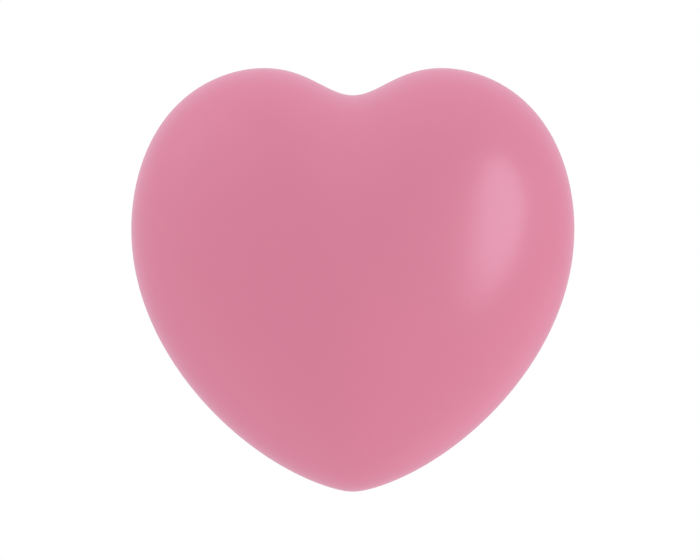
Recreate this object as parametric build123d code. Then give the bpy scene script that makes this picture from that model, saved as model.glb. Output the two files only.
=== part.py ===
# Heart-shaped push lantern.
#
# A puffed heart diffuser is pressed as a whole, 2 mm towards the back, to switch the light on and off.
# It floats on four coil springs and is held by four screws, whose washers pull up against shelves
# inside the rear housing. Behind it sit a reflector tray, a lamp board and a bay for three AAA cells.
#
# Frame: millimetres, +Z up, the heart's face looks along -Y. The origin is the centre of the keyhole's
# round entry on the flat back face, so the back face is the plane Y = 0 and the case lies at Y < 0.

import os
from math import atan2, cos, pi, radians, sin, sqrt, tan

from build123d import *

# ---- driving dimensions: the heart ------------------------------------------------------------------
half_width = 70.0  # centre line to the widest point of a lobe
crown_rise = 57.0  # height of the plain crown above the widest level
shoulder_rise = 13.5  # extra height that the crown gains towards the sides
notch_depth = 14.5  # how far the dip between the lobes cuts into the crown
notch_spread = 22.0  # half width of that dip
tip_drop = 82.8  # depth of the tip below the widest level
flank_slope = 0.21  # how straight the lower flanks run
tip_round = 4.0  # softness of the tip
front_depth = 42.0  # puff of the front, from the widest outline to the face
rear_depth = 40.0  # puff of the rear if it were not cut flat
rear_thickness = 28.5  # widest outline to the flat back
egg_lift = 0.12  # how far the thickest part sits above mid height
side_fullness = 0.9  # below 1 the sides stay thick further out
widest_z = -12.0  # height of the widest level in this frame

# ---- walls, travel and clearances -------------------------------------------------------------------
shell_wall = 2.2
housing_wall = 2.0
press_travel = 2.0
seam_clearance = 0.5  # left in the seam when the heart is pressed home
skirt_wall = 1.6
skirt_clearance = 0.9  # heart wall to housing skirt
skirt_reach = 6.0  # how far the skirt stands up inside the heart
land_round = 2.5  # rounding of the flat back's edge
loose_fit = 0.3  # clearance of lids, knuckles and guide posts
screw_fit = 0.05  # radial clearance of a screw in its pilot hole

# ---- guide posts of the heart -----------------------------------------------------------------------
post_places = {
    "upper_left": (-37.0, 0.0),
    "upper_right": (37.0, 0.0),
    "lower_left": (-20.0, -58.0),
    "lower_right": (20.0, -58.0),
}
post_diameter = 6.0
post_root_diameter = 10.0
tube_wall = 1.6
tube_front = -34.0
spring_length = 12.0
spring_wire = 0.7
spring_turns = 6.0
shelf_y = -11.0  # where the retaining washers bear
washer_diameter = 8.2
washer_thickness = 0.8
washer_clearance = 0.3
retaining_shank = 2.9
retaining_length = 14.0
retaining_head = 5.6
retaining_head_height = 2.2

# ---- AAA cells and their bay ------------------------------------------------------------------------
cell_diameter = 10.5
cell_length = 44.5
cell_nub_diameter = 3.8
cell_nub_length = 1.0
cell_count = 3
cell_gap = 0.5
contact_sheet = 0.4
contact_bump = 0.6
contact_bump_diameter = 4.0
contact_width = 8.0
contact_spring_length = 4.6
contact_spring_wire = 0.6
contact_spring_turns = 3.0
bay_wall = 1.8
bay_floor = 1.6
tab_width = 3.0
tab_reach = 3.3  # how far a solder tab stands out of the bay's floor

# ---- battery door -----------------------------------------------------------------------------------
door_thickness = 1.8
door_lap = 3.0  # how far the door reaches past the bay at each side
door_gap = 0.3
hinge_z = -11.5
hinge_pin_diameter = 2.0
hinge_pin_length = 2.0
hinge_pin_fit = 0.06
hinge_wall = 1.5  # housing wall left round a pin bore
pad_thickness = 1.0
pad_width = 30.0
pad_height = 22.0
snap_bead = 0.35
snap_length = 14.0
door_corner = 2.0
grip_count = 5  # grooves that the finger pulls on
grip_start = 4.0
grip_pitch = 2.0
grip_length = 18.0
grip_width = 0.9
scoop_radius = 9.0
scoop_depth = 1.1

# ---- keyhole ----------------------------------------------------------------------------------------
keyhole_entry = 9.0
keyhole_slot = 4.8
keyhole_rise = 7.0
keyhole_pocket_depth = 5.0
keyhole_pocket_margin = 0.7
keyhole_pocket_wall = 1.4

# ---- board, lamps and reflector ---------------------------------------------------------------------
board_width = 34.0
board_top = 4.0
board_step = -50.0  # below this the board narrows to pass between the lower guide tubes
board_neck_width = 24.0
board_bottom = -77.0
board_thickness = 1.6
board_back = -18.6
board_corner = 2.0
board_screw_places = [(-13.5, -26.0), (13.5, -26.0), (-13.5, -42.0), (13.5, -42.0)]
board_boss_diameter = 5.6
board_shank = 2.0
board_screw_length = 4.6
board_head = 3.8
board_head_height = 1.3
board_prop_place = (0.0, -63.0)
board_prop_diameter = 7.0
lamp_places = [(0.0, -3.0), (-12.0, -15.0), (12.0, -15.0), (-12.0, -35.0), (12.0, -35.0), (0.0, -48.0)]
lamp_diameter = 5.0
lamp_flange = 5.8
lamp_height = 8.6
chip_size = (5.0, 3.9, 1.5)
chip_place = (0.0, -26.0)
resistor_size = (3.2, 1.6, 0.6)
resistor_places = [(0.0, -13.0), (-4.5, -37.0), (4.5, -37.0), (0.0, -41.0)]
capacitor_diameter = 5.0
capacitor_height = 2.8
capacitor_place = (-9.5, -55.0)
reflector_inset = 6.5
reflector_back = -23.8
reflector_thickness = 1.2
reflector_lip = 1.4
reflector_lip_height = 5.0
reflector_boss_diameter = 7.0
reflector_places = [(-24.0, 17.0), (24.0, 17.0), (-41.0, -36.0), (41.0, -36.0)]
reflector_shank = 2.5
reflector_screw_length = 8.0
reflector_head = 5.0
reflector_head_height = 1.6
window_clearance = 0.5

# ---- push switch ------------------------------------------------------------------------------------
switch_place = (0.0, -71.0)
switch_side = 8.0
switch_height = 7.5
plunger_side = 3.4
plunger_length = 8.0
plunger_stand = 6.0  # how far the plunger stands out of the switch at rest
plunger_fit = 0.15
actuator_diameter = 5.0

# ---- wires and feet ---------------------------------------------------------------------------------
wire_diameter = 1.0
wire_route = [(0.0, 0.0), (5.0, 0.0), (8.5, 1.0), (13.5, 1.0)]  # across, and share of the rise
wire_rises = {"minus_wire": 4.0, "plus_wire": -4.0}
foot_places = [(-24.0, 7.0), (24.0, 7.0), (-9.0, -65.0), (9.0, -65.0)]
foot_diameter = 8.0
foot_stand = 1.5
foot_sink = 0.5
foot_fit = 0.2

# ---- places that follow from those sizes ------------------------------------------------------------
widest_y = -rear_thickness
housing_front = widest_y + press_travel + seam_clearance
skirt_inset = shell_wall + skirt_clearance
tube_bore = post_diameter + 2 * loose_fit
tube_diameter = tube_bore + 2 * tube_wall
post_shoulder = tube_front - spring_length
washer_bore = washer_diameter + 2 * washer_clearance
cell_pitch = cell_diameter + cell_gap
pad_top_y = -door_thickness - pad_thickness
cell_y = pad_top_y - loose_fit / 2 - cell_diameter / 2
bay_depth = -(cell_y - cell_diameter / 2 - loose_fit)
bay_length = cell_length + 2 * contact_sheet + contact_bump + contact_spring_length
bay_height = cell_count * cell_pitch + cell_gap
knuckle_radius = door_thickness
bay_top = hinge_z - knuckle_radius - 2.2
bay_bottom = bay_top - bay_height
door_top = hinge_z + knuckle_radius
door_bottom = bay_bottom - door_lap
door_half = bay_length / 2 + door_lap
pin_reach = door_half + hinge_pin_length
ledge_y = -door_thickness - 0.2
board_front = board_back - board_thickness
reflector_front = reflector_back - reflector_thickness
switch_front = board_front - switch_height
plunger_front = switch_front - plunger_stand
span = 4 * half_width  # longer than anything here, for cutting slabs


# ---- small helpers ----------------------------------------------------------------------------------
def rod(place, y_front, y_back, diameter):
    """A round bar along Y at place = (x, z)."""
    x, z = place
    bar = Rot(90, 0, 0) * Cylinder(diameter / 2, y_back - y_front)
    return Pos(x, (y_front + y_back) / 2, z) * bar


def cross_rod(y, z, x_left, x_right, diameter):
    """A round bar along X."""
    bar = Rot(0, 90, 0) * Cylinder(diameter / 2, x_right - x_left)
    return Pos((x_left + x_right) / 2, y, z) * bar


def block(x_range, y_range, z_range):
    """A box between three pairs of limits."""
    limits = (x_range, y_range, z_range)
    size = [high - low for low, high in limits]
    middle = [(high + low) / 2 for low, high in limits]
    return Pos(*middle) * Box(*size)


def slab(y_front, y_back):
    """Everything between two planes square to Y."""
    return block((-span, span), (y_front, y_back), (-span, span))


def together(pieces):
    """Several separate solids as one shape."""
    return Compound(children=[solid for piece in pieces for solid in piece.solids()])


# ---- the puffed heart -------------------------------------------------------------------------------
def crown(u):
    """Upper outline above the widest level, at u = x / half_width."""
    dip = notch_depth / (1 + (half_width * u / notch_spread) ** 2) ** 1.5
    return sqrt(1 - u * u) * (crown_rise + shoulder_rise * u * u - dip)


def tip(u):
    """Lower outline, below the widest level."""
    x = half_width * u
    rounded = sqrt(x * x + tip_round**2) - tip_round
    return -sqrt(1 - u * u) * (tip_drop - flank_slope * rounded)


def heart_slice(turn, inset, points=16):
    """One closed slice of the puffed heart, square to X. The slice is an egg-shaped oval from the lower
    outline to the upper one, and turn runs from -90 degrees at the left side to 90 at the right."""
    u, flat = sin(radians(turn)), cos(radians(turn))
    top, bottom = crown(u), tip(u)
    shrink = 1 - 2 * inset / (crown_rise + tip_drop)
    half_height, middle = (top - bottom) / 2 * shrink, (top + bottom) / 2
    ring = []
    knots = [number / points for number in range(points + 1)]
    for number in range(points):
        angle = 2 * pi * (number + 0.5) / points
        depth = (front_depth if sin(angle) > 0 else rear_depth) - inset
        y = widest_y - depth * flat**side_fullness * sin(angle)
        z = widest_z + middle + half_height * (cos(angle) + egg_lift * sin(angle) ** 2)
        ring.append(Vector((half_width - inset) * u, y, z))
    return Wire([Edge.make_spline(ring, periodic=True, parameters=knots)])


def puffed_heart(inset=0.0):
    """The whole heart as one solid, each surface moved in by inset."""
    right_turns = (14, 28, 42, 55, 67, 77, 84.5)
    turns = [-t for t in reversed(right_turns)] + [0] + list(right_turns)
    side = half_width - inset
    ends = [Vertex(x, widest_y, widest_z) for x in (-side, side)]
    slices = [heart_slice(turn, inset) for turn in turns]
    return Solid.make_loft([ends[0], *slices, ends[1]])


def heart_ring(outer_inset, inner_inset, y_front, y_back):
    """A wall that follows the heart between two insets and two planes."""
    return (puffed_heart(outer_inset) & slab(y_front, y_back)) - puffed_heart(inner_inset)


# ---- the heart that is pressed ----------------------------------------------------------------------
def front_shell():
    outside = puffed_heart()
    shell = heart_ring(0, shell_wall, widest_y - front_depth - 1, widest_y)
    filled = outside & slab(widest_y - front_depth - 1, widest_y)
    for place in post_places.values():
        root = rod(place, -span / 2, post_shoulder, post_root_diameter)
        shell += root & filled
        shell += rod(place, post_shoulder - 1, shelf_y, post_diameter)
        pilot = retaining_shank + 2 * screw_fit
        shell -= rod(place, shelf_y - retaining_length, shelf_y, pilot)
    shell += rod(switch_place, -span / 2, plunger_front, actuator_diameter) & filled
    return shell


def retaining_screws():
    screws = []
    head_front = shelf_y + washer_thickness
    for place in post_places.values():
        head = rod(place, head_front, head_front + retaining_head_height, retaining_head)
        tail = rod(place, head_front - retaining_length, head_front, retaining_shank)
        screw = head + tail
        slot_y = (head_front + retaining_head_height - 1, head_front + retaining_head_height)
        for half_x, half_z in ((1.7, 0.45), (0.45, 1.7)):
            x, z = place
            screw -= block((x - half_x, x + half_x), slot_y, (z - half_z, z + half_z))
        screws.append(screw)
    return together(screws)


def retaining_washers():
    washers = []
    for place in post_places.values():
        disc = rod(place, shelf_y, shelf_y + washer_thickness, washer_diameter)
        hole = rod(place, shelf_y - 1, shelf_y + 2, retaining_shank + 2 * loose_fit)
        washers.append(disc - hole)
    return together(washers)


def return_spring(place):
    """A coil round a guide post, between the post's shoulder and the end of the guide tube."""
    x, z = place
    radius = tube_bore / 2 + spring_wire / 2 + 0.25
    run = spring_length - spring_wire - 0.1
    coil = Helix(pitch=run / spring_turns, height=run, radius=radius)
    profile = Plane(origin=coil @ 0, z_dir=coil % 0) * Circle(spring_wire / 2)
    spring = sweep(profile, path=coil, is_frenet=True)
    return Pos(x, tube_front - (spring_length - run) / 2, z) * Rot(90, 0, 0) * spring


# ---- rear housing -----------------------------------------------------------------------------------
def bay_block(y_front, grow):
    half = bay_length / 2 + grow
    return block((-half, half), (y_front, 0), (bay_bottom - grow, bay_top + grow))


def door_recess(grow, y_front, y_back):
    """The door's outline with a clearance or a wall round it, from its lower edge to the knuckle's top."""
    half = door_half + grow
    return block((-half, half), (y_front, y_back), (door_bottom - grow, door_top + grow))


def keyhole(y_front, y_back, entry, slot):
    shape = rod((0, 0), y_front, y_back, entry)
    shape += rod((0, keyhole_rise), y_front, y_back, slot)
    return shape + block((-slot / 2, slot / 2), (y_front, y_back), (0, keyhole_rise))


def keyhole_pocket(grow):
    half = keyhole_entry / 2 + keyhole_pocket_margin + grow
    y_front = -housing_wall - keyhole_pocket_depth - grow
    return block((-half, half), (y_front, -housing_wall), (-half, keyhole_rise + half))


def rear_housing():
    outside = puffed_heart()
    body = outside & slab(housing_front, 0)
    back_edges = body.edges().filter_by_position(Axis.Y, -0.01, 0.01)
    body = fillet(back_edges, land_round)
    body -= puffed_heart(housing_wall) & slab(-span, -housing_wall)
    step_depth = skirt_wall
    inner_inset = skirt_inset + skirt_wall
    body += heart_ring(0, inner_inset, housing_front, housing_front + step_depth)
    body += heart_ring(skirt_inset, inner_inset, widest_y - skirt_reach, housing_front + 0.5)

    inside = puffed_heart(housing_wall / 2) & slab(-span, 0)
    solid_parts = [bay_block(-bay_depth - bay_floor, bay_wall)]
    solid_parts.append(door_recess(bay_wall, ledge_y - bay_wall, -housing_wall / 2))
    hinge_half = pin_reach + loose_fit + hinge_wall
    hinge_y = (-2 * knuckle_radius - loose_fit - hinge_wall, -housing_wall / 2)
    solid_parts.append(block((-hinge_half, hinge_half), hinge_y, (bay_top, door_top + bay_wall)))
    solid_parts.append(keyhole_pocket(keyhole_pocket_wall))
    for place in post_places.values():
        solid_parts.append(rod(place, tube_front, 0, max(tube_diameter, washer_bore + 2 * tube_wall)))
    for place in reflector_places:
        solid_parts.append(rod(place, reflector_back, 0, reflector_boss_diameter))
    for place in board_screw_places:
        solid_parts.append(rod(place, board_back, -bay_depth, board_boss_diameter))
    solid_parts.append(rod(board_prop_place, board_back, 0, board_prop_diameter))
    for part in solid_parts:
        body += part & inside

    body -= bay_block(-bay_depth, 0)
    body -= door_recess(door_gap, ledge_y, 1)
    groove_half = door_half + door_gap
    body -= cross_rod(-knuckle_radius, hinge_z, -groove_half, groove_half, 2 * (knuckle_radius + loose_fit))
    pin_bore = hinge_pin_diameter + 2 * hinge_pin_fit
    bore_half = pin_reach + loose_fit
    body -= cross_rod(-knuckle_radius, hinge_z, -bore_half, bore_half, pin_bore)
    body -= Pos(0, scoop_radius - scoop_depth, door_bottom - 2) * Sphere(scoop_radius)
    body -= snap_groove(snap_bead + loose_fit)
    body -= keyhole(-housing_wall - 1, 1, keyhole_entry, keyhole_slot)
    body -= keyhole_pocket(0)
    for place in post_places.values():
        body -= rod(place, tube_front - 1, shelf_y, tube_bore)
        body -= rod(place, shelf_y, 1, washer_bore)
    for place in reflector_places:
        deep = reflector_front + reflector_screw_length + 0.4
        body -= rod(place, reflector_back - 1, deep, reflector_shank + 2 * screw_fit)
    for place in board_screw_places:
        deep = board_front + board_screw_length + 0.2
        body -= rod(place, board_back - 1, deep, board_shank + 2 * screw_fit)
    for x, z in foot_places:
        body -= rod((x, z), -foot_sink, 1, foot_diameter + 2 * foot_fit)
    for x_outer, z in terminal_places():
        side = 1 if x_outer > 0 else -1
        x_range = sorted((x_outer + side * 0.2, x_outer - side * (contact_sheet + 0.2)))
        z_range = (z - tab_width / 2 - 0.2, z + tab_width / 2 + 0.2)
        body -= block(x_range, (-bay_depth - bay_floor - 1, -bay_depth + 1), z_range)
    return body


def rubber_feet():
    feet = []
    for place in foot_places:
        foot = rod(place, -foot_sink, foot_stand, foot_diameter)
        rim = foot.edges().filter_by_position(Axis.Y, foot_stand - 0.01, foot_stand + 0.01)
        feet.append(fillet(rim, 0.5))
    return together(feet)


# ---- battery door -----------------------------------------------------------------------------------
def snap_groove(reach):
    """The bead on the door's lower edge; with more reach, the groove it clicks into."""
    y = -door_thickness / 2
    half = snap_length / 2 + reach
    return cross_rod(y, door_bottom, -half, half, 2 * (reach + 0.15))


def battery_door():
    plate = block((-door_half, door_half), (-door_thickness, 0), (door_bottom, hinge_z))
    corners = plate.edges().filter_by(Axis.Y).group_by(Axis.Z)[0]
    plate = fillet(corners, door_corner)
    plate += cross_rod(-knuckle_radius, hinge_z, -door_half, door_half, 2 * knuckle_radius)
    plate += cross_rod(-knuckle_radius, hinge_z, -pin_reach, pin_reach, hinge_pin_diameter)
    half = snap_length / 2
    plate += cross_rod(-door_thickness / 2, door_bottom, -half, half, 2 * snap_bead)
    for row in range(grip_count):
        z = door_bottom + grip_start + row * grip_pitch
        plate -= cross_rod(0, z, -grip_length / 2, grip_length / 2, grip_width)
    return plate


def door_pad():
    middle = (bay_top + bay_bottom) / 2
    z_range = (middle - pad_height / 2, middle + pad_height / 2)
    return block((-pad_width / 2, pad_width / 2), (pad_top_y, -door_thickness), z_range)


# ---- cells and contacts -----------------------------------------------------------------------------
def cell_z(number):
    return bay_top - cell_gap / 2 - cell_pitch * (number + 0.5)


def plus_side(number):
    """+1 where the cell's plus end points right, -1 where it points left."""
    return 1 if number % 2 == 0 else -1


def sheet_x(side):
    """Inner face of the contact sheet at that end of the bay."""
    return side * (bay_length / 2 - contact_sheet)


def cell(number):
    side, z = plus_side(number), cell_z(number)
    plus_end = sheet_x(side) - side * contact_bump
    shoulder = plus_end - side * cell_nub_length
    minus_end = plus_end - side * cell_length
    can = cross_rod(cell_y, z, *sorted((minus_end, shoulder)), cell_diameter)
    can = fillet(can.edges().filter_by(GeomType.CIRCLE), 0.5)
    return can + cross_rod(cell_y, z, *sorted((shoulder, plus_end)), cell_nub_diameter)


def contact(side, numbers, tab):
    """A sprung sheet at one end of the bay that touches the named cells."""
    top = cell_z(numbers[0]) + contact_width / 2
    bottom = cell_z(numbers[-1]) - contact_width / 2
    inner = sheet_x(side)
    x_range = sorted((inner, inner + side * contact_sheet))
    plate = block(x_range, (cell_y - contact_width / 2, cell_y + contact_width / 2), (bottom, top))
    for number in numbers:
        if plus_side(number) == side:
            reach = sorted((inner - side * contact_bump, inner + side * contact_sheet / 2))
            plate += cross_rod(cell_y, cell_z(number), *reach, contact_bump_diameter)
    if tab:
        z = cell_z(numbers[0])
        y_front = -bay_depth - bay_floor - tab_reach
        plate += block(x_range, (y_front, cell_y), (z - tab_width / 2, z + tab_width / 2))
    return plate


def terminal_places():
    """Outer face and height of the two sheets that have a solder tab."""
    first, last = 0, cell_count - 1
    minus_x = -plus_side(first) * bay_length / 2
    plus_x = plus_side(last) * bay_length / 2
    return [(minus_x, cell_z(first)), (plus_x, cell_z(last))]


def contact_springs():
    """The cone-shaped coils behind the cells' minus ends."""
    springs = []
    run = contact_spring_length - contact_spring_wire - 0.1
    for number in range(cell_count):
        side = -plus_side(number)
        coil = Helix(run / contact_spring_turns, run, 3.6, cone_angle=-20)
        profile = Plane(origin=coil @ 0, z_dir=coil % 0) * Circle(contact_spring_wire / 2)
        spring = sweep(profile, path=coil, is_frenet=True)
        start = sheet_x(side) - side * (contact_spring_length - run) / 2
        springs.append(Pos(start, cell_y, cell_z(number)) * Rot(0, -side * 90, 0) * spring)
    return together(springs)


# ---- board, lamps and reflector ---------------------------------------------------------------------
def main_board():
    wide, neck = board_width / 2, board_neck_width / 2
    sheet = block((-wide, wide), (board_front, board_back), (board_step, board_top))
    sheet += block((-neck, neck), (board_front, board_back), (board_bottom, board_step))
    sheet = fillet(sheet.edges().filter_by(Axis.Y), board_corner)
    for place in board_screw_places:
        sheet -= rod(place, board_front - 1, board_back + 1, board_shank + 2 * loose_fit)
    return sheet


def lamps():
    """Round lamps with a flange and a domed end."""
    bodies = []
    dome_y = board_front - lamp_height + lamp_diameter / 2
    for x, z in lamp_places:
        lamp = rod((x, z), board_front - 1.0, board_front, lamp_flange)
        lamp += rod((x, z), dome_y, board_front - 1.0, lamp_diameter)
        bodies.append(lamp + Pos(x, dome_y, z) * Sphere(lamp_diameter / 2))
    return together(bodies)


def timer_chip():
    width, height, thickness = chip_size
    x, z = chip_place
    body_y = (board_front - thickness, board_front - 0.2)
    chip = block((x - width / 2, x + width / 2), body_y, (z - height / 2, z + height / 2))
    for number in range(4):
        leg_x = x + (number - 1.5) * 1.27
        for side in (-1, 1):
            z_range = sorted((z + side * (height / 2 - 0.3), z + side * (height / 2 + 1.0)))
            chip += block((leg_x - 0.2, leg_x + 0.2), (board_front - 0.5, board_front), z_range)
    return chip


def resistors():
    width, height, thickness = resistor_size
    bodies = []
    for x, z in resistor_places:
        y_range = (board_front - thickness, board_front)
        bodies.append(block((x - width / 2, x + width / 2), y_range, (z - height / 2, z + height / 2)))
    return together(bodies)


def capacitor():
    can = rod(capacitor_place, board_front - capacitor_height, board_front, capacitor_diameter)
    return fillet(can.edges().filter_by(GeomType.CIRCLE), 0.3)


def fasteners(places, seat_y, head, head_height, shank, length):
    """Pan-head screws driven along +Y, with a cross cut in each head."""
    screws = []
    for x, z in places:
        top = rod((x, z), seat_y - head_height, seat_y, head)
        top = fillet(top.edges().filter_by(GeomType.CIRCLE).group_by(Axis.Y)[0], head_height / 3)
        screw = top + rod((x, z), seat_y, seat_y + length, shank)
        for half_x, half_z in ((head / 3.5, 0.35), (0.35, head / 3.5)):
            cut_y = (seat_y - head_height - 1, seat_y - head_height / 2)
            screw -= block((x - half_x, x + half_x), cut_y, (z - half_z, z + half_z))
        screws.append(screw)
    return together(screws)


def reflector():
    tray = puffed_heart(reflector_inset) & slab(reflector_front, reflector_back)
    lip_inner = reflector_inset + reflector_lip
    tray += heart_ring(reflector_inset, lip_inner, reflector_back - reflector_lip_height, reflector_back)
    y_range = (reflector_front - reflector_lip_height, reflector_back + 1)
    tube = max(tube_diameter, washer_bore + 2 * tube_wall) + 2 * window_clearance
    for place in post_places.values():
        tray -= rod(place, *y_range, tube)
    for place in lamp_places:
        tray -= rod(place, *y_range, lamp_diameter + 2 * window_clearance)
    for place in reflector_places:
        tray -= rod(place, *y_range, reflector_shank + 2 * loose_fit)
    x, z = switch_place
    half = switch_side / 2 + window_clearance
    return tray - block((x - half, x + half), y_range, (z - half, z + half))


# ---- push switch ------------------------------------------------------------------------------------
def switch_body():
    x, z = switch_place
    half, inner = switch_side / 2, plunger_side / 2 + plunger_fit
    case = block((x - half, x + half), (switch_front, board_front), (z - half, z + half))
    deep = plunger_front + plunger_length + press_travel + 0.3
    return case - block((x - inner, x + inner), (switch_front - 1, deep), (z - inner, z + inner))


def switch_plunger():
    x, z = switch_place
    half = plunger_side / 2
    y_range = (plunger_front, plunger_front + plunger_length)
    return block((x - half, x + half), y_range, (z - half, z + half))


# ---- wires ------------------------------------------------------------------------------------------
def wire(terminal, rise):
    """From a solder tab, in a lazy bend, to the back of the board that it lies against."""
    x_outer, z = terminal
    side = 1 if x_outer > 0 else -1
    start_x = x_outer - side * contact_sheet
    y = board_back + wire_diameter / 2
    route = [(start_x - side * across, y, z + up * rise) for across, up in wire_route]
    turn = atan2(abs(rise), wire_route[2][0] - wire_route[1][0])
    shorter = min(wire_route[1][0], wire_route[3][0] - wire_route[2][0])
    radius = 0.45 * shorter / tan(turn / 2)
    print("wire bend radius", round(radius, 2), "mm for a wire of", wire_diameter, "mm")
    line = FilletPolyline(*route, radius=radius)
    profile = Plane(origin=line @ 0, z_dir=line % 0) * Circle(wire_diameter / 2)
    return sweep(profile, path=line)


# ---- write every piece ------------------------------------------------------------------------------
def pieces():
    made = {
        "front_shell": front_shell(),
        "retaining_screws": retaining_screws(),
        "retaining_washers": retaining_washers(),
        "rear_housing": rear_housing(),
        "rubber_feet": rubber_feet(),
        "battery_door": battery_door(),
        "door_pad": door_pad(),
        "minus_terminal": contact(-1, [0], tab=True),
        "plus_terminal": contact(1, [2], tab=True),
        "bridge_right": contact(1, [0, 1], tab=False),
        "bridge_left": contact(-1, [1, 2], tab=False),
        "contact_springs": contact_springs(),
        "main_board": main_board(),
        "lamps": lamps(),
        "timer_chip": timer_chip(),
        "resistors": resistors(),
        "capacitor": capacitor(),
        "reflector": reflector(),
        "switch_body": switch_body(),
        "switch_plunger": switch_plunger(),
    }
    for name, place in post_places.items():
        made[f"return_spring_{name}"] = return_spring(place)
    for number in range(cell_count):
        made[f"cell_{number + 1}"] = cell(number)
    for (name, rise), terminal in zip(wire_rises.items(), terminal_places()):
        made[name] = wire(terminal, rise)
    made["board_screws"] = fasteners(
        board_screw_places, board_front, board_head, board_head_height, board_shank, board_screw_length
    )
    made["reflector_screws"] = fasteners(
        reflector_places,
        reflector_front,
        reflector_head,
        reflector_head_height,
        reflector_shank,
        reflector_screw_length,
    )
    return made


os.makedirs("parts", exist_ok=True)
for piece_name, piece in pieces().items():
    export_step(piece, f"parts/{piece_name}.step")
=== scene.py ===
import bmesh
import bpy
import numpy as np
from mathutils import Matrix, Vector


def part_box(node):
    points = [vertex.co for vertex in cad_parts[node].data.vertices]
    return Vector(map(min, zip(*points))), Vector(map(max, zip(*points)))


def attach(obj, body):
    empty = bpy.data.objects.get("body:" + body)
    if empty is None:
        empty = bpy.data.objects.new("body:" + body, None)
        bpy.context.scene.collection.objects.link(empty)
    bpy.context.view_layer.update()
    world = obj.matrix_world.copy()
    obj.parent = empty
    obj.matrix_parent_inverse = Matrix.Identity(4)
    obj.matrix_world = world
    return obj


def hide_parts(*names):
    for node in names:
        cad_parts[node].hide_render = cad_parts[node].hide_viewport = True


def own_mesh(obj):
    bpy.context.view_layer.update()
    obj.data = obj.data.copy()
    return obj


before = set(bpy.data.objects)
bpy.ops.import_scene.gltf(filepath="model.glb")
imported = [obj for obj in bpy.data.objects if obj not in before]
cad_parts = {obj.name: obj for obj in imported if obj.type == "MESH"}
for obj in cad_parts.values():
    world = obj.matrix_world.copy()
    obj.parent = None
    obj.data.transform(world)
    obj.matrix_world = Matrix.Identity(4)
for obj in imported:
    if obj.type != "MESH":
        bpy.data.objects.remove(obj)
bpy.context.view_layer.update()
weldWithin = 1e-6  # points nearer than this are one; lengths are in metres throughout
print("frame loaded")


# tools for surfaces and finishes

def linearColour(red, green, blue):
    # screen colour, 0 to 255, to the linear colour that a shader takes
    share = np.array([red, green, blue]) / 255
    linear = np.where(share < 0.04045, share / 12.92, ((share + 0.055) / 1.055) ** 2.4)
    return (*(float(part) for part in linear), 1.0)


def boxMiddle(node):
    # centre of a CAD piece's box
    return [(float(low) + float(high)) / 2 for low, high in zip(*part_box(node))]


def shaded(colour, share):
    # the same colour, lighter or darker by that share
    return tuple(min(1.0, part * share) for part in colour[:3]) + (1.0,)


def gridFaces(rows, columns, closedRows=False, closedColumns=False):
    # quads between the points of a grid that is numbered row by row
    rowStarts, columnStarts = np.arange(rows - (not closedRows)), np.arange(columns - (not closedColumns))
    row, column = np.meshgrid(rowStarts, columnStarts, indexing="ij")
    nextRow, nextColumn = (row + 1) % rows, (column + 1) % columns
    corners = [row * columns + column, nextRow * columns + column,
               nextRow * columns + nextColumn, row * columns + nextColumn]
    return np.stack(corners, axis=-1).reshape(-1, 4)


def meshPiece(name, patches, body):
    # patches: pairs of a points array and a faces array, each a closed surface once its doubles are merged
    points = np.concatenate([patch[0].reshape(-1, 3) for patch in patches])
    starts = np.cumsum([0] + [patch[0].reshape(-1, 3).shape[0] for patch in patches[:-1]])
    faces = np.concatenate([patch[1] + start for patch, start in zip(patches, starts)])
    mesh = bpy.data.meshes.new(name)
    mesh.from_pydata(points.tolist(), [], faces.tolist())
    work = bmesh.new()
    work.from_mesh(mesh)
    bmesh.ops.remove_doubles(work, verts=work.verts, dist=weldWithin)
    bmesh.ops.recalc_face_normals(work, faces=work.faces)
    work.to_mesh(mesh)
    work.free()
    mesh.polygons.foreach_set("use_smooth", np.ones(len(mesh.polygons), dtype=bool))
    piece = bpy.data.objects.new(name, mesh)
    bpy.context.scene.collection.objects.link(piece)
    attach(piece, body)
    return piece


def turnedPatch(centre, radii, depths, sides):
    # a profile (radius, depth along Y) turned about an axis along Y through centre (x, z);
    # depths may differ round the circle, as rows of one value a side
    around = np.linspace(0, 2 * np.pi, sides, endpoint=False)
    radii = np.asarray(radii)[:, None] * np.ones(sides)
    depths = np.array([np.ones(sides) * depth for depth in depths])
    x, z = centre[0] + radii * np.cos(around), centre[1] + radii * np.sin(around)
    return np.stack([x, depths, z], axis=-1), gridFaces(len(radii), sides, closedColumns=True)


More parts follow.
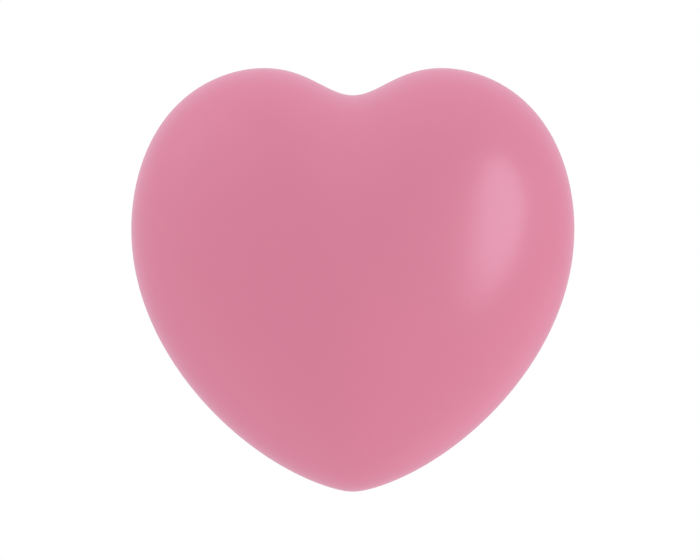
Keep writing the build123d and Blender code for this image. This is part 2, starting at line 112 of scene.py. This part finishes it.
class Flow:
    # a value in a finish: shader maths on it is written as plain expressions
    def __init__(self, tree, socket=None):
        self.tree = tree
        self.socket = socket

    def add(self, kind, settings=None, sockets=None, out=0):
        # any node: its type, its settings, the values or links of its sockets, and the output that is used
        node = self.tree.nodes.new(kind)
        for key, value in (settings or {}).items():
            if key == "stops":
                ramp = node.color_ramp
                while len(ramp.elements) < len(value):
                    ramp.elements.new(0.5)
                for element, (place, colour) in zip(ramp.elements, value):
                    element.position = place
                    element.color = colour
            else:
                setattr(node, key, value)
        for key, value in (sockets or {}).items():
            if isinstance(value, Flow):
                self.tree.links.new(value.socket, node.inputs[key])
            else:
                node.inputs[key].default_value = value
        return Flow(self.tree, node.outputs[out] if node.outputs else None)

    def maths(self, operation, first, second=0.0):
        return self.add("ShaderNodeMath", {"operation": operation}, {0: first, 1: second})

    def __add__(self, other):
        return self.maths("ADD", self, other)

    def __sub__(self, other):
        return self.maths("SUBTRACT", self, other)

    def __mul__(self, other):
        return self.maths("MULTIPLY", self, other)

    def __lt__(self, other):
        return self.maths("LESS_THAN", self, other)

    def __gt__(self, other):
        return self.maths("GREATER_THAN", self, other)

    def __radd__(self, other):
        return self.maths("ADD", other, self)

    def __rsub__(self, other):
        return self.maths("SUBTRACT", other, self)

    def __abs__(self):
        return self.maths("ABSOLUTE", self)

    def most(self, other):
        return self.maths("MAXIMUM", self, other)

    def least(self, other):
        return self.maths("MINIMUM", self, other)

    def mixed(self, low, high):
        # colour low where this value is 0, high where it is 1
        return self.add("ShaderNodeMix", {"data_type": "RGBA"}, {0: self, 6: low, 7: high}, out=2)


class Finish(Flow):
    # a material with one Principled shader; place is the Object coordinate
    def __init__(self, name, **plain):
        self.material = bpy.data.materials.new(name)
        self.material.use_nodes = True
        super().__init__(self.material.node_tree)
        self.shader = self.tree.nodes["Principled BSDF"]
        for key, value in plain.items():
            self.set(key.replace("_", " "), value)
        self.place = self.add("ShaderNodeTexCoord", out="Object")

    def set(self, name, value):
        if isinstance(value, Flow):
            self.tree.links.new(value.socket, self.shader.inputs[name])
        else:
            self.shader.inputs[name].default_value = value

    def axes(self):
        split = self.add("ShaderNodeSeparateXYZ", sockets={0: self.place})
        outputs = split.socket.node.outputs
        return [Flow(self.tree, outputs[number]) for number in range(3)]

    def grain(self, size, detail=2.0, rough=0.5):
        # soft noise from 0 to 1 with features of about that size in metres
        sockets = {"Vector": self.place, "Scale": 1 / size, "Detail": detail, "Roughness": rough}
        return self.add("ShaderNodeTexNoise", sockets=sockets)

    def bump(self, height, depth):
        sockets = {"Height": height, "Distance": depth, "Strength": 1.0}
        self.set("Normal", self.add("ShaderNodeBump", sockets=sockets))

    def spots(self, places, radius):
        # 1 inside a circle of that radius round any of the (x, z) places, in metres
        x, _, z = self.axes()
        total = None
        for placeX, placeZ in places:
            across, up = x - placeX, z - placeZ
            inside = across * across + up * up < radius * radius
            total = inside if total is None else total.most(inside)
        return total


def dress(nodes, finish):
    for name in nodes:
        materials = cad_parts[name].data.materials
        materials.clear()
        materials.append(finish.material)


# the puffed heart that is pressed

heart = {
    "halfWidth": 0.070,
    "crownRise": 0.057,
    "shoulderRise": 0.0135,
    "notchDepth": 0.0145,
    "notchSpread": 0.022,
    "tipDrop": 0.0828,
    "flankSlope": 0.21,
    "tipRound": 0.004,
    "frontDepth": 0.042,
    "eggLift": 0.12,
    "sideFullness": 0.9,
    "wall": 0.00214,  # leaves running room over the skirt near the tip
    "rimRound": 0.0006,
    "turns": 240,
    "around": 120,
    "lipRows": 5,
}
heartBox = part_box("front_shell")
heart["equator"] = float(heartBox[0][1]) + heart["frontDepth"]  # the plane of the widest outline
heart["widestZ"] = float(heartBox[0][2]) + heart["tipDrop"]


def heartOutline(u):
    # upper and lower outline at u = x / half width: a round crown with raised shoulders and a bell-shaped
    # dip, over a tip whose flanks run nearly straight, both closed by the circle's sqrt(1 - u^2)
    x = heart["halfWidth"] * u
    closing = np.sqrt(np.maximum(1 - u * u, 0))
    dip = heart["notchDepth"] / (1 + (x / heart["notchSpread"]) ** 2) ** 1.5
    top = closing * (heart["crownRise"] + heart["shoulderRise"] * u * u - dip)
    flank = np.sqrt(x * x + heart["tipRound"] ** 2) - heart["tipRound"]
    bottom = -closing * (heart["tipDrop"] - heart["flankSlope"] * flank)
    return top, bottom


def heartPoints(turn, around, inset):
    # egg-shaped ovals square to X: half height times cosine, lifted by the egg term, and depth times sine
    u, closing = np.sin(turn), np.cos(turn)
    top, bottom = heartOutline(u)
    shrink = 1 - 2 * inset / (heart["crownRise"] + heart["tipDrop"])
    halfHeight, middle = (top - bottom) / 2 * shrink, (top + bottom) / 2
    depth = (heart["frontDepth"] - inset) * np.maximum(closing, 0) ** heart["sideFullness"]
    x = (heart["halfWidth"] - inset) * u
    y = heart["equator"] - depth * np.sin(around)
    z = heart["widestZ"] + middle + halfHeight * (np.cos(around) + heart["eggLift"] * np.sin(around) ** 2)
    return np.stack([x + 0 * around, y, z], axis=-1)


def heartFace(x, z, inset):
    # depth of the surface at (x, z): the oval's height equation is solved for its cosine
    turn = np.arcsin(x / (heart["halfWidth"] - inset))
    top, bottom = heartOutline(np.sin(turn))
    halfHeight = (top - bottom) / 2 * (1 - 2 * inset / (heart["crownRise"] + heart["tipDrop"]))
    level = (z - heart["widestZ"] - (top + bottom) / 2) / halfHeight
    egg = heart["eggLift"]
    cosine = (1 - np.sqrt(1 - 4 * egg * (level - egg))) / (2 * egg)
    depth = (heart["frontDepth"] - inset) * np.cos(turn) ** heart["sideFullness"]
    return heart["equator"] - depth * np.sqrt(1 - cosine**2)


def heartShell():
    # each row is a closed C: over the outside, round the lower rim, back inside, round the upper rim.
    # Near the equator the inset follows a quarter circle, which rounds the rim's two edges.
    turn = np.linspace(-np.pi / 2, np.pi / 2, heart["turns"])[:, None]
    over = np.pi * (0.5 - 0.5 * np.cos(np.linspace(0, np.pi, heart["around"])))[None, :]
    closing = np.maximum(np.cos(turn), 0) ** heart["sideFullness"]
    rim, wall = heart["rimRound"], heart["wall"]

    def rimInset(depth):
        rise = np.clip(rim - depth * closing * np.sin(over), 0, rim)
        return rim - np.sqrt(rim**2 - rise**2)

    outside = heartPoints(turn, over, rimInset(heart["frontDepth"]))
    inside = heartPoints(turn, over, wall - rimInset(heart["frontDepth"] - wall))
    lip = np.linspace(rim, wall - rim, heart["lipRows"])[None, 1:-1]
    lower = heartPoints(turn, np.full_like(lip, np.pi), lip)
    upper = heartPoints(turn, np.zeros_like(lip), lip[:, ::-1])
    points = np.concatenate([outside, lower, inside[:, ::-1], upper], axis=1)
    return points, gridFaces(points.shape[0], points.shape[1], closedColumns=True)


posts = {
    "places": [(-0.037, 0.0), (0.037, 0.0), (-0.020, -0.058), (0.020, -0.058)],
    "root": 0.005,
    "radius": 0.003,
    "pilot": 0.0015,
    "pilotDepth": 0.014,
    "edge": 0.0003,
    "springLength": 0.012,
    "springGap": 0.00005,
    "barRadius": 0.0025,
    "sides": 48,
}
posts["end"] = float(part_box("retaining_washers")[0][1])
posts["shoulder"] = float(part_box("return_spring_upper_left")[0][1]) - posts["springGap"]


def sunkRing(place, radius, around):
    # depth of the middle of the heart's wall, all round a circle about place
    x, z = place[0] + radius * np.cos(around), place[1] + radius * np.sin(around)
    return heartFace(x, z, heart["wall"] / 2)


def guidePost(place):
    # a stepped bar with a blind pilot hole, whose head is sunk half way into the heart's wall
    around = np.linspace(0, 2 * np.pi, posts["sides"], endpoint=False)
    sunk = sunkRing(place, posts["root"], around)
    headMiddle = float(np.mean(sunk))
    step, end, edge = posts["shoulder"], posts["end"], posts["edge"]
    radii = [0, posts["root"], posts["root"], posts["root"] - edge, posts["radius"], posts["radius"],
             posts["radius"] - edge, posts["pilot"], posts["pilot"], 0]
    depths = [headMiddle, sunk, step - edge, step, step, end - edge, end, end,
              end - posts["pilotDepth"], end - posts["pilotDepth"]]
    return turnedPatch(place, radii, depths, posts["sides"])


def actuatorBar():
    middle, radius = boxMiddle("switch_plunger"), posts["barRadius"]
    place = (middle[0], middle[2])
    around = np.linspace(0, 2 * np.pi, posts["sides"], endpoint=False)
    sunk = sunkRing(place, radius, around)
    end = float(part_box("switch_plunger")[0][1])
    radii = [0, radius, radius, radius - posts["edge"], 0]
    depths = [float(np.mean(sunk)), sunk, end - posts["edge"], end, end]
    return turnedPatch(place, radii, depths, posts["sides"])


heartPatches = [heartShell()] + [guidePost(place) for place in posts["places"]] + [actuatorBar()]
heartPiece = meshPiece("heart_diffuser", heartPatches, "heart")
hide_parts("front_shell")
print("heart made")


# the springs under it

spring = {
    "wire": 0.00035,
    "radius": 0.0039,
    "turns": 6,
    "flatEnds": 0.35,  # how nearly the first and last turns lie flat, 0 to 1
    "steps": 40,
    "sides": 12,
}


def coilPatch(centre, front, back):
    # a helix whose first and last turns lie flat, carried by a circle square to the wire
    along = np.linspace(0, 1, spring["turns"] * spring["steps"] + 1)
    eased = along - np.sin(2 * np.pi * along) / (2 * np.pi) * spring["flatEnds"]
    angle = 2 * np.pi * spring["turns"] * along
    reach = back - front - 2 * spring["wire"]
    path = np.stack([centre[0] + spring["radius"] * np.cos(angle), front + spring["wire"] + reach * eased,
                     centre[1] + spring["radius"] * np.sin(angle)], axis=-1)
    outwards = np.stack([np.cos(angle), 0 * angle, np.sin(angle)], axis=-1)
    tangent = np.gradient(path, axis=0)
    tangent /= np.linalg.norm(tangent, axis=1, keepdims=True)
    binormal = np.cross(tangent, outwards)
    ring = np.linspace(0, 2 * np.pi, spring["sides"], endpoint=False)
    across, lifted = np.cos(ring)[None, :, None], np.sin(ring)[None, :, None]
    points = path[:, None] + spring["wire"] * (outwards[:, None] * across + binormal[:, None] * lifted)
    ends = np.repeat(path[[0, -1]][:, None], spring["sides"], axis=1)
    points = np.concatenate([ends[:1], points, ends[1:]])
    return points, gridFaces(points.shape[0], points.shape[1], closedColumns=True)


springPieces = []
for node in [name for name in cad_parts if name.startswith("return_spring_")]:
    low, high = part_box(node)
    middle = boxMiddle(node)
    patch = coilPatch((middle[0], middle[2]), float(low[1]), float(high[1]))
    coil = meshPiece("coil_" + node, [patch], "housing")
    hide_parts(node)
    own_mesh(coil)
    springPieces.append(coil)
print("springs made")


# finishes

skin = {
    "heart": {"colour": linearColour(218, 128, 156), "rough": 0.45, "gloss": 0.34, "texture": 0.000001},
    "case": {"colour": linearColour(217, 127, 154), "rough": 0.44, "gloss": 0.2, "texture": 0.000012},
    "specular": 0.12,
    "coatRough": 0.26,
    "cloudSize": 0.03,
    "cloudPaler": 1.03,
    "speck": 0.0006,
    "roughVaries": 0.04,
    "textureSize": 0.0004,
}


def satinPink(name, colour, rough, gloss, texture):
    coat = {"Coat_Roughness": skin["coatRough"], "Coat_Weight": gloss}
    finish = Finish(name, Specular_IOR_Level=skin["specular"], **coat)
    cloud = finish.grain(skin["cloudSize"], 3.0)
    paler = shaded(colour, skin["cloudPaler"])
    finish.set("Base Color", cloud.mixed(colour, paler))
    finish.set("Roughness", rough + (finish.grain(skin["speck"]) - 0.5) * skin["roughVaries"])
    finish.bump(finish.grain(skin["textureSize"], 1.0), texture)
    return finish


heartSkin = satinPink("satin_pink_diffuser", **skin["heart"])
caseSkin = satinPink("satin_pink_case", **skin["case"])
heartPiece.data.materials.append(heartSkin.material)
dress(["rear_housing", "battery_door"], caseSkin)


plating = {"detail": 4.0, "harsh": 0.7, "darker": 0.8, "roughVaries": 0.18, "depth": 0.00001}


def metal(name, colour, rough, streak):
    finish = Finish(name, Metallic=1.0)
    scratch = finish.grain(streak, plating["detail"], plating["harsh"])
    finish.set("Base Color", scratch.mixed(colour, shaded(colour, plating["darker"])))
    finish.set("Roughness", rough + scratch * plating["roughVaries"])
    finish.bump(scratch, plating["depth"])
    return finish


zinc = metal("zinc_plate", linearColour(206, 207, 212), 0.24, 0.0007)
nickel = metal("nickel_plate", linearColour(222, 218, 208), 0.16, 0.001)
dress(["retaining_screws", "retaining_washers", "board_screws", "reflector_screws"], zinc)
dress(["minus_terminal", "plus_terminal", "bridge_left", "bridge_right", "contact_springs"], nickel)
for coil in springPieces:
    coil.data.materials.append(zinc.material)


rubber = {
    "pale": linearColour(196, 193, 190),
    "dark": linearColour(176, 173, 170),
    "dustSize": 0.0012,
    "rough": 0.62,
    "roughVaries": 0.2,
    "pimple": 0.0003,
    "depth": 0.00003,
}


def rubberFinish():
    finish = Finish("grey_rubber", Specular_IOR_Level=0.35)
    dust = finish.grain(rubber["dustSize"], 4.0)
    finish.set("Base Color", dust.mixed(rubber["pale"], rubber["dark"]))
    finish.set("Roughness", rubber["rough"] + dust * rubber["roughVaries"])
    finish.bump(finish.grain(rubber["pimple"]), rubber["depth"])
    return finish


foam = {
    "dark": linearColour(38, 38, 41),
    "pale": linearColour(74, 74, 78),
    "cell": 0.0006,
    "depth": 0.0002,
}


def foamFinish():
    finish = Finish("dark_foam", Roughness=0.95, Specular_IOR_Level=0.2)
    sockets = {"Vector": finish.place, "Scale": 1 / foam["cell"]}
    cells = finish.add("ShaderNodeTexVoronoi", sockets=sockets, out="Distance")
    finish.set("Base Color", cells.mixed(foam["dark"], foam["pale"]))
    finish.bump(cells, foam["depth"])
    return finish


dress(["rubber_feet"], rubberFinish())
dress(["door_pad"], foamFinish())


lampPlaces = [(0, -0.003), (-0.012, -0.015), (0.012, -0.015), (-0.012, -0.035), (0.012, -0.035), (0, -0.048)]
board = {
    "mask": linearColour(18, 92, 48),
    "overTrack": linearColour(42, 128, 70),
    "tin": linearColour(214, 210, 200),
    "track": 0.0006,
    "pitch": 0.0032,
    "patch": 0.014,
    "pad": 0.0034,
    "relief": 0.00004,
    "rough": 0.28,
    "roughVaries": 0.12,
    "smear": 0.002,
}


def boardFinish():
    # green solder mask over tracks that run along or across, with a tinned pad round each lamp
    finish = Finish("circuit_board", Specular_IOR_Level=0.5)
    x, _, z = finish.axes()
    pitch, halfTrack = board["pitch"], board["track"] / 2
    upright = abs(finish.maths("PINGPONG", x, pitch) - pitch / 2) < halfTrack
    level = abs(finish.maths("PINGPONG", z, pitch) - pitch / 2) < halfTrack
    patchy = finish.grain(board["patch"], 0.0) > 0.5
    track = upright * patchy + level * (1 - patchy)
    mask = track.mixed(board["mask"], board["overTrack"])
    pads = finish.spots(lampPlaces, board["pad"])
    finish.set("Base Color", pads.mixed(mask, board["tin"]))
    finish.set("Metallic", pads * 1.0)
    finish.set("Roughness", board["rough"] + finish.grain(board["smear"]) * board["roughVaries"])
    finish.bump(track.most(pads), board["relief"])
    return finish


dress(["main_board"], boardFinish())


lamp = {"core": 0.0013, "epoxy": linearColour(236, 236, 228), "phosphor": linearColour(238, 214, 110)}


def lampFinish():
    # water-clear epoxy over a yellow phosphor cup
    finish = Finish("clear_lamp", Roughness=0.06, IOR=1.54)
    core = finish.spots(lampPlaces, lamp["core"])
    finish.set("Base Color", core.mixed(lamp["epoxy"], lamp["phosphor"]))
    return finish


chip = {"halfBody": 0.00196, "body": linearColour(30, 30, 32), "leg": linearColour(205, 203, 198)}


def chipFinish():
    # black moulded package; what stands past its long sides is a tinned leg
    finish = Finish("chip_package")
    _, _, z = finish.axes()
    leg = abs(z - boxMiddle("timer_chip")[2]) > chip["halfBody"]
    finish.set("Base Color", leg.mixed(chip["body"], chip["leg"]))
    finish.set("Metallic", leg * 1.0)
    finish.set("Roughness", 0.55 - leg * 0.3 + finish.grain(0.0002) * 0.1)
    return finish


resistor = {
    "film": linearColour(24, 24, 28),
    "tin": linearColour(208, 206, 200),
    "across": (0.0, -0.0045, 0.0045),  # where the bodies' middles are along X
    "endMiddle": 0.00138,
    "halfEnd": 0.00024,
}


def resistorFinish():
    # black film between two tinned ends
    finish = Finish("film_resistor")
    x, _, _ = finish.axes()
    ends = None
    for placeX in resistor["across"]:
        end = (abs(abs(x - placeX) - resistor["endMiddle"]) < resistor["halfEnd"]) * 1.0
        ends = end if ends is None else ends.most(end)
    finish.set("Base Color", ends.mixed(resistor["film"], resistor["tin"]))
    finish.set("Metallic", ends * 1.0)
    finish.set("Roughness", 0.4 + finish.grain(0.0003) * 0.1)
    return finish


capacitor = {"can": linearColour(206, 208, 210), "mark": linearColour(32, 32, 36), "markBelow": -0.0108}


def capacitorFinish():
    # bare can with a dark segment that marks the minus side
    finish = Finish("capacitor_can")
    x, _, _ = finish.axes()
    dark = x < capacitor["markBelow"]
    finish.set("Base Color", dark.mixed(capacitor["can"], capacitor["mark"]))
    finish.set("Metallic", 1 - dark)
    finish.set("Roughness", 0.3 + finish.grain(0.0008) * 0.15)
    return finish


def whiteFinish(name, colour, rough):
    finish = Finish(name, Specular_IOR_Level=0.5)
    flow = finish.grain(0.02, 2.0)
    finish.set("Base Color", flow.mixed(colour, shaded(colour, 0.96)))
    finish.set("Roughness", rough + finish.grain(0.0007) * 0.06)
    finish.bump(finish.grain(0.0005), 0.000006)
    return finish


def blackPlastic(name, colour, rough):
    finish = Finish(name)
    speck = finish.grain(0.0005, 3.0)
    finish.set("Base Color", speck.mixed(colour, shaded(colour, 1.5)))
    finish.set("Roughness", rough + speck * 0.12)
    finish.bump(speck, 0.00001)
    return finish


cell = {
    "sleeve": linearColour(58, 62, 70),
    "copper": linearColour(196, 132, 74),
    "pale": linearColour(226, 224, 218),
    "steel": linearColour(205, 206, 208),
    "plusCap": 0.0016,
    "minusCap": 0.0439,  # from the plus end
    "band": 0.0125,
    "line": 0.0133,
    "halfLine": 0.0003,
}


def cellFinish(node):
    # a printed sleeve: a bright band at the plus end, steel at both ends, and a thin line round the band
    low, high = (float(corner[0]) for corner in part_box(node))
    plusRight = high > -low
    finish = Finish("sleeve_" + node, Specular_IOR_Level=0.5, Coat_Weight=0.4)
    x, _, _ = finish.axes()
    fromPlus = (high - x) if plusRight else (x - low)
    steelEnd = (fromPlus < cell["plusCap"]).most(fromPlus > cell["minusCap"])
    band = (fromPlus < cell["band"]) * 1.0
    line = abs(fromPlus - cell["line"]) < cell["halfLine"]
    sleeve = line.mixed(band.mixed(cell["sleeve"], cell["copper"]), cell["pale"])
    finish.set("Base Color", steelEnd.mixed(sleeve, cell["steel"]))
    finish.set("Metallic", steelEnd.most(band * 0.6))
    finish.set("Roughness", 0.24 + finish.grain(0.001) * 0.1)
    return finish


dress(["lamps"], lampFinish())
dress(["timer_chip"], chipFinish())
dress(["resistors"], resistorFinish())
dress(["capacitor"], capacitorFinish())
dress(["reflector"], whiteFinish("white_tray", linearColour(240, 240, 238), 0.3))
dress(["switch_plunger"], whiteFinish("white_plunger", linearColour(232, 231, 226), 0.35))
dress(["switch_body"], blackPlastic("black_switch", linearColour(28, 28, 30), 0.42))
dress(["minus_wire"], blackPlastic("black_lead", linearColour(22, 22, 22), 0.4))
dress(["plus_wire"], blackPlastic("red_lead", linearColour(176, 30, 26), 0.4))
for node in ("cell_1", "cell_2", "cell_3"):
    dress([node], cellFinish(node))
print("finishes set")


# studio: camera, lights, floor

studio = {
    "fieldWidth": 0.2213,  # how wide the view is at the heart's widest plane
    "distance": 1.5,
    "aim": (-0.0009, -0.0159),  # across, and above the heart's widest level
    "sensor": 36,
    "clip": (0.05, 20),
    "backdrop": 1.0,  # white screen behind
    "wash": 1.1,  # light on every surface
    "washRight": 0.05,  # how much stronger it is from the right
    "washBehind": 0.17,  # and from behind
    "mirrorSides": 1.0,  # what gloss sees at the sides
    "mirrorRight": -0.1,  # how much brighter that is on the right
    "mirrorFront": 0.1,  # and in the dark end of the room, where the camera stands
    "darkFrom": 0.25,  # that end begins where a direction points this much towards the camera
    "darkSlope": 1.6,
    "mirrorTint": (0.92, 1.0, 1.1, 1),  # slightly cool
    "floorLevel": -1.3,
    "floorReach": 9.0,
    "floorLines": 41,
    "floorPale": linearColour(236, 235, 233),
    "floorDark": linearColour(232, 231, 229),
}


def addCamera():
    data = bpy.data.cameras.new("camera")
    data.sensor_width = studio["sensor"]
    data.lens = studio["sensor"] * studio["distance"] / studio["fieldWidth"]
    data.clip_start, data.clip_end = studio["clip"]
    camera = bpy.data.objects.new("camera", data)
    bpy.context.scene.collection.objects.link(camera)
    across, above = studio["aim"]
    camera.location = (across, heart["equator"] - studio["distance"], heart["widestZ"] + above)
    camera.rotation_euler = (np.pi / 2, 0, 0)
    bpy.context.scene.camera = camera


# azimuth is counted from the camera's side towards +X, elevation upwards, in degrees; a mirrored light
# is seen by gloss alone, and any other lights the skin and is not mirrored
lights = [
    {"name": "key_oval", "azimuth": 52.5, "elevation": 4.5, "roll": 0, "distance": 1.0,
     "width": 0.5, "height": 0.98, "radiance": 6.0, "colour": (0.82, 1.0, 1.12), "mirrored": True},
    {"name": "left_wash", "azimuth": -62, "elevation": 34, "roll": 25, "distance": 1.1,
     "width": 1.4, "height": 1.0, "radiance": 0.5, "colour": (0.9, 0.95, 1.15), "mirrored": True},
    {"name": "warm_fill", "azimuth": 72, "elevation": -42, "roll": 0, "distance": 1.2,
     "width": 0.9, "height": 0.9, "radiance": 0.6, "colour": (1, 0.65, 0.65), "mirrored": False},
    {"name": "low_rim", "azimuth": 110, "elevation": -38, "roll": 0, "distance": 1.2,
     "width": 1.1, "height": 1.1, "radiance": 0.5, "colour": (1, 1, 1.1), "mirrored": True},
]


def addLight(name, azimuth, elevation, roll, distance, width, height, radiance, colour, mirrored):
    data = bpy.data.lights.new(name, "AREA")
    data.shape = "ELLIPSE"
    data.size, data.size_y = width, height
    data.energy = radiance * np.pi * width * height * (np.pi / 4)
    data.color = colour
    light = bpy.data.objects.new(name, data)
    bpy.context.scene.collection.objects.link(light)
    across, up = np.radians(azimuth), np.radians(elevation)
    towards = Vector((np.sin(across) * np.cos(up), -np.cos(across) * np.cos(up), np.sin(up)))
    facing = towards.to_track_quat("Z", "Y").to_matrix().to_4x4()
    rolled = Matrix.Rotation(np.radians(roll), 4, "Z")
    light.matrix_world = Matrix.Translation(towards * distance) @ facing @ rolled
    light.visible_diffuse = not mirrored
    light.visible_glossy = mirrored
    light.visible_camera = False


def addWorld():
    # the screen is white to the camera; the light is nearly even, and gloss sees bright sides
    # and a dark room in front
    world = bpy.data.worlds.new("studio")
    world.use_nodes = True
    bpy.context.scene.world = world
    flow = Flow(world.node_tree)
    world.node_tree.nodes.clear()
    direction = flow.add("ShaderNodeTexCoord", out="Generated")
    split = flow.add("ShaderNodeSeparateXYZ", sockets={0: direction}).socket.node.outputs
    x, y = Flow(flow.tree, split[0]), Flow(flow.tree, split[1])
    path = flow.add("ShaderNodeLightPath").socket.node.outputs
    seen, gloss = Flow(flow.tree, path["Is Camera Ray"]), Flow(flow.tree, path["Is Glossy Ray"])
    wash = studio["wash"] + x * studio["washRight"] + y * studio["washBehind"]
    darkSlope = studio["darkSlope"]
    front = (y * -darkSlope - darkSlope * studio["darkFrom"]).most(0.0).least(1.0)
    sides = studio["mirrorSides"] + x * studio["mirrorRight"]
    mirror = sides - front * (sides - studio["mirrorFront"])
    light = wash + gloss * (mirror - wash)
    strength = light + seen * (studio["backdrop"] - light)
    tint = gloss.mixed((1, 1, 1, 1), studio["mirrorTint"])
    screen = flow.add("ShaderNodeBackground", sockets={0: tint, 1: strength})
    flow.add("ShaderNodeOutputWorld", sockets={0: screen})


def addFloor():
    # a wide pale table far below, because the lamp hangs on a wall
    count = studio["floorLines"]
    lines = np.linspace(-1, 1, count) * studio["floorReach"]
    across, deep = np.meshgrid(lines, lines, indexing="ij")
    points = np.stack([across, deep, np.full_like(across, studio["floorLevel"])], axis=-1)
    mesh = bpy.data.meshes.new("floor")
    mesh.from_pydata(points.reshape(-1, 3).tolist(), [], gridFaces(count, count).tolist())
    floor = bpy.data.objects.new("floor", mesh)
    bpy.context.scene.collection.objects.link(floor)
    finish = Finish("pale_floor", Roughness=0.8)
    finish.set("Base Color", finish.grain(0.05).mixed(studio["floorPale"], studio["floorDark"]))
    mesh.materials.append(finish.material)
    floor.visible_glossy = False  # its pale sheet would whiten the underside


addCamera()
addWorld()
addFloor()
for light in lights:
    addLight(**light)
bpy.context.scene.view_settings.view_transform = "Standard"
print("studio set")
